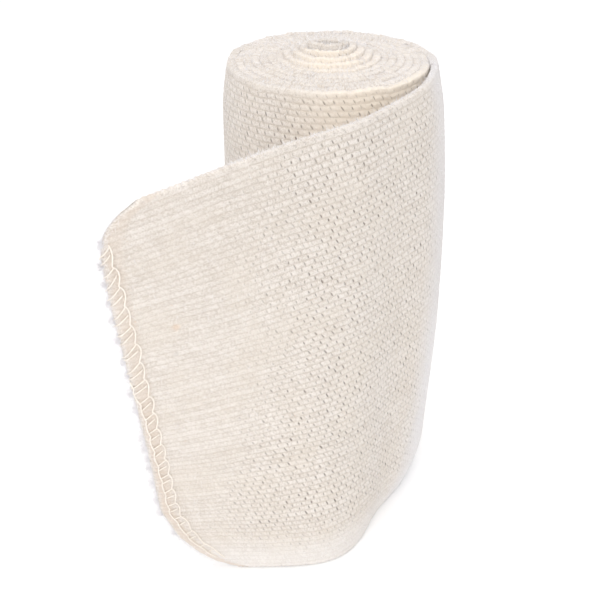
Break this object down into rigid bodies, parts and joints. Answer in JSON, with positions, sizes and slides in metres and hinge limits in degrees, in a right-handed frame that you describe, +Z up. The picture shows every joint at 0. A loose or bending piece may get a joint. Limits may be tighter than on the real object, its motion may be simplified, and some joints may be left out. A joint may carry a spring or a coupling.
{
  "type": "elastic bandage",
  "caption": "Elastic crepe bandage: a wound roll of woven cotton strip standing on end, its free end peeled off one side and led across the front.",
  "frame": {"origin": "on the surface that the bandage stands on, under the middle of the whole bandage's box", "axes": "+Z up along the roll's axis and across the cloth, -Y towards the side that the free end is led across, +X towards the side where it leaves the roll"},
  "size_m": [0.0642, 0.0896, 0.1038],
  "materials": {
    "cotton_crepe": "matt unbleached cotton crepe weave"
  },
  "bodies": {
    "root": {"wound_roll": "cotton_crepe", "loose_end": "cotton_crepe"}
  },
  "joints": []
}
